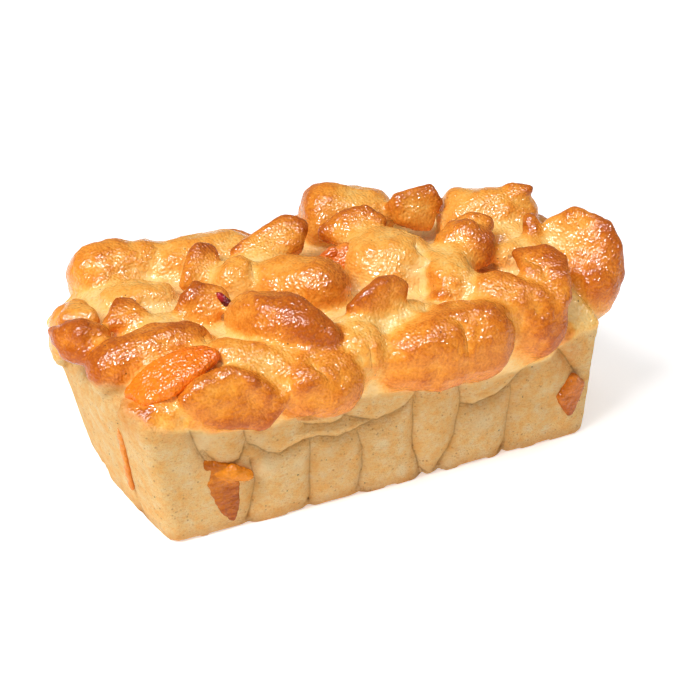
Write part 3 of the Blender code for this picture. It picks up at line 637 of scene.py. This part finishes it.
toast = np.clip(spread(toast, pairs, baking["softenRounds"]), 0, 1)
wobble = baking["edgeWave"] * noiseAt(co, baking["edgeWaveSpacing"], offset=9, octaves=3)
crust = smoothStep(co[:, 2] + wobble, edgeHeight - baking["edgeBlend"], edgeHeight + baking["edgeBlend"])
crust = spread(crust, pairs, baking["softenRounds"])
nearSeam = np.exp(-seamGap / baking["seamWidth"])
nearSeam += baking["faintShare"] * np.exp(-(faintGap / baking["faintWidth"]) ** 2)
print("toasted the crust")


def store(mesh, name, values):
    layer = mesh.attributes.new(name, "FLOAT", "POINT")
    layer.data.foreach_set("value", values.astype(np.float32))


# lineGap and lineSide place the painted shade line along the seams and creases
stored = {
    "toast": toast, "crust": crust, "nearSeam": nearSeam * (1 - crust),
    "lineGap": np.minimum(lineGap, lineReach), "lineSide": np.clip(lineSide, -lineReach, lineReach),
    "stain": spotted(stains), "paleSpot": spotted(paleSpots),
}
for name, values in stored.items():
    store(mesh, name, values)
setPlaces(mesh, co * mm)
lighter = loaf.modifiers.new("lighter", "DECIMATE")
lighter.ratio = skin["triangles"] / sum(len(face.vertices) - 2 for face in mesh.polygons)
bakeModifiers(loaf)
loaf.data.shade_smooth()


# Short ways to add nodes to the tree of one material or group
class Nodes:
    def __init__(self, tree):
        self.tree = tree

    def add(self, kind, values=None, **settings):
        node = self.tree.nodes.new(kind)
        for name, value in settings.items():
            setattr(node, name, value)
        for key, value in (values or {}).items():
            if isinstance(value, bpy.types.NodeSocket):
                self.tree.links.new(value, node.inputs[key])
            else:
                node.inputs[key].default_value = value
        return node

    def math(self, operation, first, second=0.0, clamp=False):
        node = self.add("ShaderNodeMath", {0: first, 1: second}, operation=operation, use_clamp=clamp)
        return node.outputs[0]

    def remap(self, value, low, high, toLow=0.0, toHigh=1.0):
        node = self.add("ShaderNodeMapRange", {"Value": value, "From Min": low, "From Max": high,
                                               "To Min": toLow, "To Max": toHigh})
        return node.outputs["Result"]

    def noise(self, vector, scale, detail=2.0, roughness=0.5):
        node = self.add("ShaderNodeTexNoise", {"Vector": vector, "Scale": scale, "Detail": detail,
                                               "Roughness": roughness})
        return node.outputs["Fac"]

    def mix(self, share, first, second):
        node = self.add("ShaderNodeMix", data_type="RGBA")
        sockets = (node.inputs["Factor"], node.inputs[6], node.inputs[7])
        for socket, value in zip(sockets, (share, first, second)):
            if isinstance(value, bpy.types.NodeSocket):
                self.tree.links.new(value, socket)
            else:
                socket.default_value = value
        return node.outputs[2]

    def ramp(self, value, stops):
        node = self.add("ShaderNodeValToRGB", {"Fac": value})
        ramp = node.color_ramp
        while len(ramp.elements) < len(stops):
            ramp.elements.new(0.5)
        for element, (place, colour) in zip(ramp.elements, stops):
            element.position = place
            element.color = linear(*colour)
        return node.outputs["Color"]

    def attribute(self, name):
        return self.add("ShaderNodeAttribute", attribute_name=name).outputs["Fac"]


# A colour as seen on screen, 0 to 255, to the linear one that a shader takes
def linear(red, green, blue):
    shares = [value / 255 for value in (red, green, blue)]
    return [share / 12.92 if share < 0.04045 else ((share + 0.055) / 1.055) ** 2.4 for share in shares] + [1]


def newMaterial(name):
    material = bpy.data.materials.new(name)
    material.use_nodes = True
    return material, Nodes(material.node_tree), material.node_tree.nodes["Principled BSDF"]


def millimetres(nodes):
    place = nodes.add("ShaderNodeTexCoord").outputs["Object"]
    return nodes.add("ShaderNodeVectorMath", {0: place, "Scale": 1000.0}, operation="SCALE").outputs[0]


glazeLook = {"coarseScale": 0.3, "coarseShare": 0.32, "fineScale": 0.85, "fineShare": 0.7}


# Fine grain that breaks the glaze into small glints
def makeGlazeGrain():
    group = bpy.data.node_groups.new("glazeGrain", "ShaderNodeTree")
    group.interface.new_socket("Place", in_out="INPUT", socket_type="NodeSocketVector")
    group.interface.new_socket("Height", in_out="OUTPUT", socket_type="NodeSocketFloat")
    nodes = Nodes(group)
    place = nodes.add("NodeGroupInput").outputs["Place"]
    coarse = nodes.noise(place, scale=glazeLook["coarseScale"], detail=0.0)
    fine = nodes.noise(place, scale=glazeLook["fineScale"], detail=0.0)
    height = nodes.math("ADD", nodes.math("MULTIPLY", coarse, glazeLook["coarseShare"]),
                        nodes.math("MULTIPLY", fine, glazeLook["fineShare"]))
    nodes.add("NodeGroupOutput", {"Height": height})
    return group


# Colours from the palest to the brownest place, of the marks on the sides, and of the painted shade in the
# pits and along the seams and creases
loafLook = {
    "crust": [(0.0, (254, 213, 140)), (0.2, (252, 197, 107)), (0.4, (250, 175, 76)), (0.6, (240, 150, 50)),
              (0.8, (218, 122, 32)), (1.0, (186, 90, 17))],
    "side": [(0.3, (255, 226, 168)), (0.5, (255, 210, 136)), (0.7, (254, 184, 88))],
    "speckle": (242, 164, 84), "crumb": (220, 142, 66), "pitShade": (190, 118, 52), "seam": (228, 158, 72),
    "base": (216, 138, 56), "paleSpot": (255, 226, 170), "stain": (244, 152, 48), "line": (170, 104, 44),
    "dot": (92, 48, 20), "sideRoughness": 0.75, "specular": 0.28, "bumpDepth": 0.7 * mm,
}


# Browned crust above the edge line and pale pored crumb below it
def bakedMaterial(glaze):
    material, nodes, shader = newMaterial("bakedLoaf")
    links = material.node_tree.links
    place = millimetres(nodes)
    crust = nodes.attribute("crust")
    mottle = nodes.noise(place, scale=0.3, detail=4.0, roughness=0.6)
    # Fine colour grain, partly the crust's own grain and partly painted glints
    grainAndGlints = nodes.noise(place, scale=0.85, detail=3.0, roughness=0.65)
    toast = nodes.attribute("toast")
    toast = nodes.math("ADD", toast, nodes.remap(mottle, 0.3, 0.7, toLow=-0.09, toHigh=0.09))
    toast = nodes.math("ADD", toast, nodes.remap(grainAndGlints, 0.3, 0.7, toLow=-0.13, toHigh=0.13), clamp=True)
    crustColour = nodes.ramp(toast, loafLook["crust"])

    pale = nodes.ramp(nodes.noise(place, scale=0.14, detail=5.0, roughness=0.72), loafLook["side"])
    slant = nodes.add("ShaderNodeMapping", {"Vector": place, "Rotation": (0.3, 0.7, 0.2),
                                            "Scale": (0.45, 0.45, 1.5)})
    wrinkle = nodes.noise(slant.outputs[0], scale=1.0, detail=4.0, roughness=0.7)
    speckle = nodes.remap(wrinkle, 0.5, 0.68)
    crumbs = nodes.remap(nodes.noise(place, scale=1.6, detail=3.0, roughness=0.7), 0.56, 0.68)
    # Painted shade: the pores are drawn as darker pits
    pits = nodes.add("ShaderNodeTexVoronoi", {"Vector": place, "Scale": 0.42}).outputs["Distance"]
    pits = nodes.remap(pits, 0.12, 0.28, toLow=0.65, toHigh=0.0)
    height = nodes.add("ShaderNodeSeparateXYZ", {"Vector": place}).outputs["Z"]
    patchy = nodes.remap(mottle, 0.35, 0.6, toLow=0.3)
    marks = [
        ("speckle", nodes.math("MULTIPLY", speckle, 0.6)),
        ("crumb", nodes.math("MULTIPLY", crumbs, 0.5)),
        ("pitShade", nodes.math("MULTIPLY", pits, nodes.remap(mottle, 0.47, 0.56))),
        ("seam", nodes.math("MULTIPLY", nodes.attribute("nearSeam"), 0.3)),
        ("base", nodes.remap(height, 0.5, 7.0, toLow=0.5, toHigh=0.0)),
        ("paleSpot", nodes.attribute("paleSpot")),
        ("stain", nodes.math("MULTIPLY", nodes.attribute("stain"), patchy)),
    ]
    for name, share in marks:
        pale = nodes.mix(share, pale, linear(*loafLook[name]))
    colour = nodes.mix(crust, pale, crustColour)

    # Painted shade: a thin dark line along the side seams and, fainter, along the crust creases
    thin = nodes.remap(nodes.math("ABSOLUTE", nodes.attribute("lineSide")), 0.05, 0.5, toLow=1.0, toHigh=0.0)
    near = nodes.remap(nodes.attribute("lineGap"), 0.8, 1.8, toLow=1.0, toHigh=0.0)
    line = nodes.math("MULTIPLY", thin, near)
    faded = nodes.math("MULTIPLY", line, nodes.remap(crust, 0.0, 1.0, toLow=0.35, toHigh=0.1))
    colour = nodes.mix(faded, colour, linear(*loafLook["line"]))
    dots = nodes.add("ShaderNodeTexVoronoi", {"Vector": place, "Scale": 0.1}).outputs["Distance"]
    dots = nodes.remap(dots, 0.03, 0.05, toLow=0.75, toHigh=0.0)
    links.new(nodes.mix(dots, colour, linear(*loafLook["dot"])), shader.inputs["Base Color"])

    patches = nodes.noise(place, scale=0.09, detail=3.0, roughness=0.6)
    glossy = nodes.remap(patches, 0.38, 0.58, toLow=0.26, toHigh=0.09)
    rough = nodes.add("ShaderNodeMix", {"Factor": crust, "A": loafLook["sideRoughness"], "B": glossy},
                      data_type="FLOAT")
    links.new(rough.outputs[0], shader.inputs["Roughness"])
    shader.inputs["Specular IOR Level"].default_value = loafLook["specular"]

    grain = nodes.add("ShaderNodeGroup", {"Place": place}, node_tree=glaze).outputs["Height"]
    pores = nodes.math("ADD", nodes.noise(place, scale=1.0, detail=3.0, roughness=0.7),
                       nodes.math("MULTIPLY", wrinkle, 0.8))
    sideGrain = nodes.math("MULTIPLY", pores, nodes.remap(crust, 0.0, 1.0, toLow=2.2, toHigh=0.0))
    relief = nodes.math("ADD", nodes.math("MULTIPLY", grain, crust), sideGrain)
    relief = nodes.math("SUBTRACT", relief, nodes.math("MULTIPLY", line, 0.35))
    bump = nodes.add("ShaderNodeBump", {"Distance": loafLook["bumpDepth"], "Height": relief})
    links.new(bump.outputs["Normal"], shader.inputs["Normal"])
    return material


glaze = makeGlazeGrain()
loaf.data.materials.append(bakedMaterial(glaze))
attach(loaf, "root")
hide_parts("loaf")
print("made the loaf")

# Fruit: corners of each part in mm with roundness and brownness, a slot and its lightest and deepest colours
fruitPieces = {
    "peach_slice_top": {
        "parts": [[(-115, -40.5, 69.5, 3, 0.4), (-112, -50, 70.5, 3, 0.3), (-103, -53, 74.5, 3.5, 0.4),
                   (-92, -52, 79, 3.5, 0.5), (-82, -49, 82.5, 3, 0.7), (-84, -45, 83, 3, 0.6),
                   (-92, -43, 82.5, 3.5, 0.4), (-101, -42, 80, 3.5, 0.3), (-108, -41, 76, 3.5, 0.3)]],
        "slot": "peach_flesh", "gloss": 0.34, "light": (252, 144, 30), "deep": (238, 94, 0)},
    "peach_chunk_front": {
        "parts": [[(-90, -55, 37, 2, 0.7), (-88.5, -54.5, 27, 2.5, 0.6), (-84, -53, 14, 2.5, 0.8),
                   (-77, -52, 5, 2, 1.0), (-76, -53, 14, 2.5, 0.9), (-77, -54.5, 24, 2.5, 0.7),
                   (-82, -55.5, 33, 3, 0.5)],
                  [(-84, -57, 32, 2, 0.3), (-79, -58, 32.5, 2.5, 0.15), (-72, -58.5, 28.5, 2.5, 0.1),
                   (-79, -57.5, 28.5, 2, 0.3)]],
        "slot": "browned_peach", "gloss": 0.2, "light": (240, 146, 30), "deep": (160, 72, 0)},
    "peach_chunk_right": {
        "parts": [[(87, -56.5, 25, 2, 0.6), (93, -57, 33, 2.5, 0.4), (98, -55.5, 28, 2.5, 0.5),
                   (94, -54.5, 14, 2, 0.9), (91, -55, 20, 3, 0.7)]],
        "slot": "browned_peach", "gloss": 0.2, "light": (236, 138, 40), "deep": (166, 76, 4)},
    "peach_strip_left": {
        "parts": [[(-118, -30, 51, 0.9, 0.4), (-116, -27, 42, 1.3, 0.3), (-114.5, -26, 33, 1.5, 0.3)],
                  [(-114.5, -26, 34, 1.4, 0.3), (-112.5, -23.5, 22, 1.4, 0.5), (-111, -23, 13, 0.9, 0.6)]],
        "slot": "browned_peach", "gloss": 0.2, "light": (246, 160, 66), "deep": (214, 116, 36)},
    "peach_piece_back": {
        "parts": [[(-2, 6, 86, 4, 0.5), (6, 3, 90, 5, 0.4), (12, 0, 88, 4, 0.6), (4, 0, 86, 4, 0.5)],
                  [(-5, 5, 87, 3, 0.8), (0, 4, 91, 3, 0.7)]],
        "slot": "peach_flesh", "gloss": 0.34, "light": (250, 150, 54), "deep": (206, 84, 14)},
    "cherry_bit": {
        "parts": [[(-63, -13, 91, 1.1, 0.2), (-61, -15, 88, 2, 0.8), (-59, -17, 86, 2, 1.0)],
                  [(-65, -10, 91.5, 0.9, 0.1), (-62, -12, 90, 1.2, 0.4)]],
        "slot": "cherry", "gloss": 0.3, "light": (206, 44, 50), "deep": (58, 8, 8)},
}


fruitMesh = {"step": 0.45, "smoothRounds": 6, "lump": 0.35, "lumpSpacing": 3, "swell": 0.25}


def makeFruit(name, shape):
    bm = bmesh.new()
    for corners in shape["parts"]:
        addCornerPiece(bm, corners)
    obj = newObject("fruit_" + name, meshFrom(name, bm))
    joinAsOneSkin(obj, fruitMesh["step"])
    fruit = obj.data
    co = spread(places(fruit), edgePairs(fruit), fruitMesh["smoothRounds"])
    setPlaces(fruit, co)
    lumps = fruitMesh["lump"] * noiseAt(co, fruitMesh["lumpSpacing"], offset=4, octaves=2)
    co = co + outward(fruit) * (lumps + fruitMesh["swell"])[:, None]
    toast = np.zeros(len(co))
    nearest = np.full(len(co), farAway)
    for corners in shape["parts"]:
        gap, brown = cornerCloseness(co, corners)
        toast = np.where(gap < nearest, brown, toast)
        nearest = np.minimum(gap, nearest)
    setPlaces(fruit, co * mm)
    store(fruit, "toast", toast)
    fruit.shade_smooth()
    fruit.materials.append(fleshMaterial(name, shape))
    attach(obj, "root")
    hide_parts(name)


fleshLook = {"strands": (0.3, 1, 1), "strandTurn": (0.2, 0.4, 0.3), "roughness": 0.2, "bumpDepth": 1 * mm}


# Wet flesh with faint strands, deeper in colour where it browned
def fleshMaterial(name, shape):
    material, nodes, shader = newMaterial("flesh_" + name)
    links = material.node_tree.links
    place = millimetres(nodes)
    strands = nodes.add("ShaderNodeMapping", {"Vector": place, "Rotation": fleshLook["strandTurn"],
                                              "Scale": fleshLook["strands"]}).outputs[0]
    streaks = nodes.noise(strands, scale=0.5, detail=4.0, roughness=0.6)
    tone = nodes.remap(streaks, 0.3, 0.7, toLow=-0.25, toHigh=0.25)
    tone = nodes.math("ADD", tone, nodes.attribute("toast"), clamp=True)
    links.new(nodes.mix(tone, linear(*shape["light"]), linear(*shape["deep"])), shader.inputs["Base Color"])
    shader.inputs["Roughness"].default_value = fleshLook["roughness"]
    shader.inputs["Specular IOR Level"].default_value = shape["gloss"]
    grain = nodes.add("ShaderNodeGroup", {"Place": place}, node_tree=glaze).outputs["Height"]
    bump = nodes.add("ShaderNodeBump", {"Distance": fleshLook["bumpDepth"], "Height": grain})
    links.new(bump.outputs["Normal"], shader.inputs["Normal"])
    return material


for name, shape in fruitPieces.items():
    makeFruit(name, shape)
print("made the fruit")

# Floor, light and camera
studio = {
    "floorSize": 6, "floorDrop": 0.2 * mm, "floorGrey": 0.92, "floorRoughness": 0.9, "floorSpecular": 0.1,
    "floorGlow": 0.445, "skyStrength": 0.26, "lampDistance": 4, "lampAim": (0, 0, 0.05),
}


# The direction from the loaf towards a lamp or camera, and the turn that faces it back
def seenFrom(azimuth, elevation):
    turn, lift = math.radians(azimuth), math.radians(elevation)
    back = Vector((math.sin(turn) * math.cos(lift), -math.cos(turn) * math.cos(lift), math.sin(lift)))
    return back, (-back).to_track_quat("-Z", "Y").to_euler()


bm = bmesh.new()
bmesh.ops.create_grid(bm, x_segments=1, y_segments=1, size=studio["floorSize"],
                      matrix=Matrix.Translation((0, 0, -studio["floorDrop"])))
floor = newObject("floor", meshFrom("floor", bm))
floorMaterial, floorNodes, shader = newMaterial("paleFloor")
floorLook = {
    "Base Color": (studio["floorGrey"], studio["floorGrey"], studio["floorGrey"], 1),
    "Roughness": studio["floorRoughness"], "Specular IOR Level": studio["floorSpecular"],
    "Emission Color": (1, 1, 1, 1), "Emission Strength": studio["floorGlow"],
}
for name, value in floorLook.items():
    shader.inputs[name].default_value = value
floor.data.materials.append(floorMaterial)

world = bpy.data.worlds.new("studio")
bpy.context.scene.world = world
world.use_nodes = True
sky = world.node_tree.nodes["Background"]
sky.inputs["Color"].default_value = (1, 1, 1, 1)
sky.inputs["Strength"].default_value = studio["skyStrength"]

# Soft boxes in metres and watts; those for glints light no dull surface
softBoxes = {
    "keyBox": {"azimuth": -71, "elevation": 50, "size": 1.6, "power": 122, "glintOnly": False},
    "topBox": {"azimuth": -10, "elevation": 78, "size": 1.6, "power": 30, "glintOnly": False},
    "leftGlint": {"azimuth": -60, "elevation": 52, "size": 0.25, "power": 175, "glintOnly": True},
    "frontGlint": {"azimuth": -20, "elevation": 64, "size": 0.25, "power": 125, "glintOnly": True},
    "rightGlint": {"azimuth": 40, "elevation": 50, "size": 0.25, "power": 65, "glintOnly": True},
}
for name, box in softBoxes.items():
    light = bpy.data.lights.new(name, "AREA")
    light.shape = "SQUARE"
    light.size = box["size"]
    light.energy = box["power"]
    lamp = newObject(name, light)
    lamp.visible_diffuse = not box["glintOnly"]
    back, lamp.rotation_euler = seenFrom(box["azimuth"], box["elevation"])
    lamp.location = Vector(studio["lampAim"]) + back * studio["lampDistance"]

view = {"azimuth": -27.37, "elevation": 27, "place": (-0.3228, -0.6272, 0.4082), "lens": 91.11, "sensor": 36}
camera = newObject("camera", bpy.data.cameras.new("camera"))
camera.data.lens = view["lens"]
camera.data.sensor_width = view["sensor"]
camera.location = view["place"]
camera.rotation_euler = seenFrom(view["azimuth"], view["elevation"])[1]
bpy.context.scene.camera = camera
bpy.context.scene.view_settings.view_transform = "Standard"
print("lit the studio")
